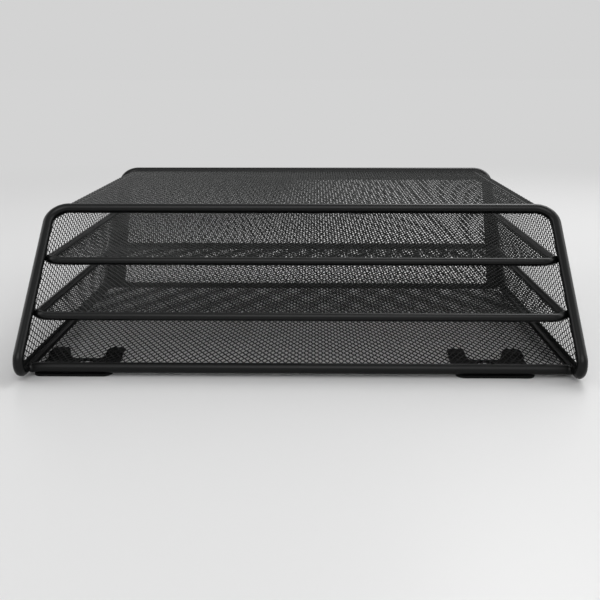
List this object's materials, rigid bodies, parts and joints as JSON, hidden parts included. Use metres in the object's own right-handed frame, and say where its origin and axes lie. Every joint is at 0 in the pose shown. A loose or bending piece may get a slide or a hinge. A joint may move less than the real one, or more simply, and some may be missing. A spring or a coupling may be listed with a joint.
{
  "type": "wall file organizer",
  "caption": "Black steel mesh wall file lying on its back: a bent rod frame, stepped open pockets between mesh dividers, a slanted floor and keyhole hangers.",
  "frame": {"origin": "bottom centre of the bounding box with the file lying on its back, as pictured", "axes": "+X across the file, +Y from the open top towards the floor of the pockets, +Z away from the wall, so on a wall -Y is up"},
  "size_m": [0.2608, 0.2518, 0.0729],
  "materials": {
    "rod_steel": "satin black powder coat on round steel rod",
    "mesh_steel": "satin black powder coat on expanded steel mesh",
    "hanger_steel": "satin black powder coat on stamped steel plate"
  },
  "bodies": {
    "root": {"frame_rod": "rod_steel", "back_cross_rail": "rod_steel", "upper_divider_rod": "rod_steel", "lower_divider_rod": "rod_steel", "upper_divider_mesh": "mesh_steel", "lower_divider_mesh": "mesh_steel", "back_mesh": "mesh_steel", "floor_mesh": "mesh_steel", "front_mesh": "mesh_steel", "front_fold_left": "mesh_steel", "front_fold_right": "mesh_steel", "side_mesh_left": "mesh_steel", "side_mesh_right": "mesh_steel", "hanger_left": "hanger_steel", "hanger_right": "hanger_steel"}
  },
  "joints": []
}
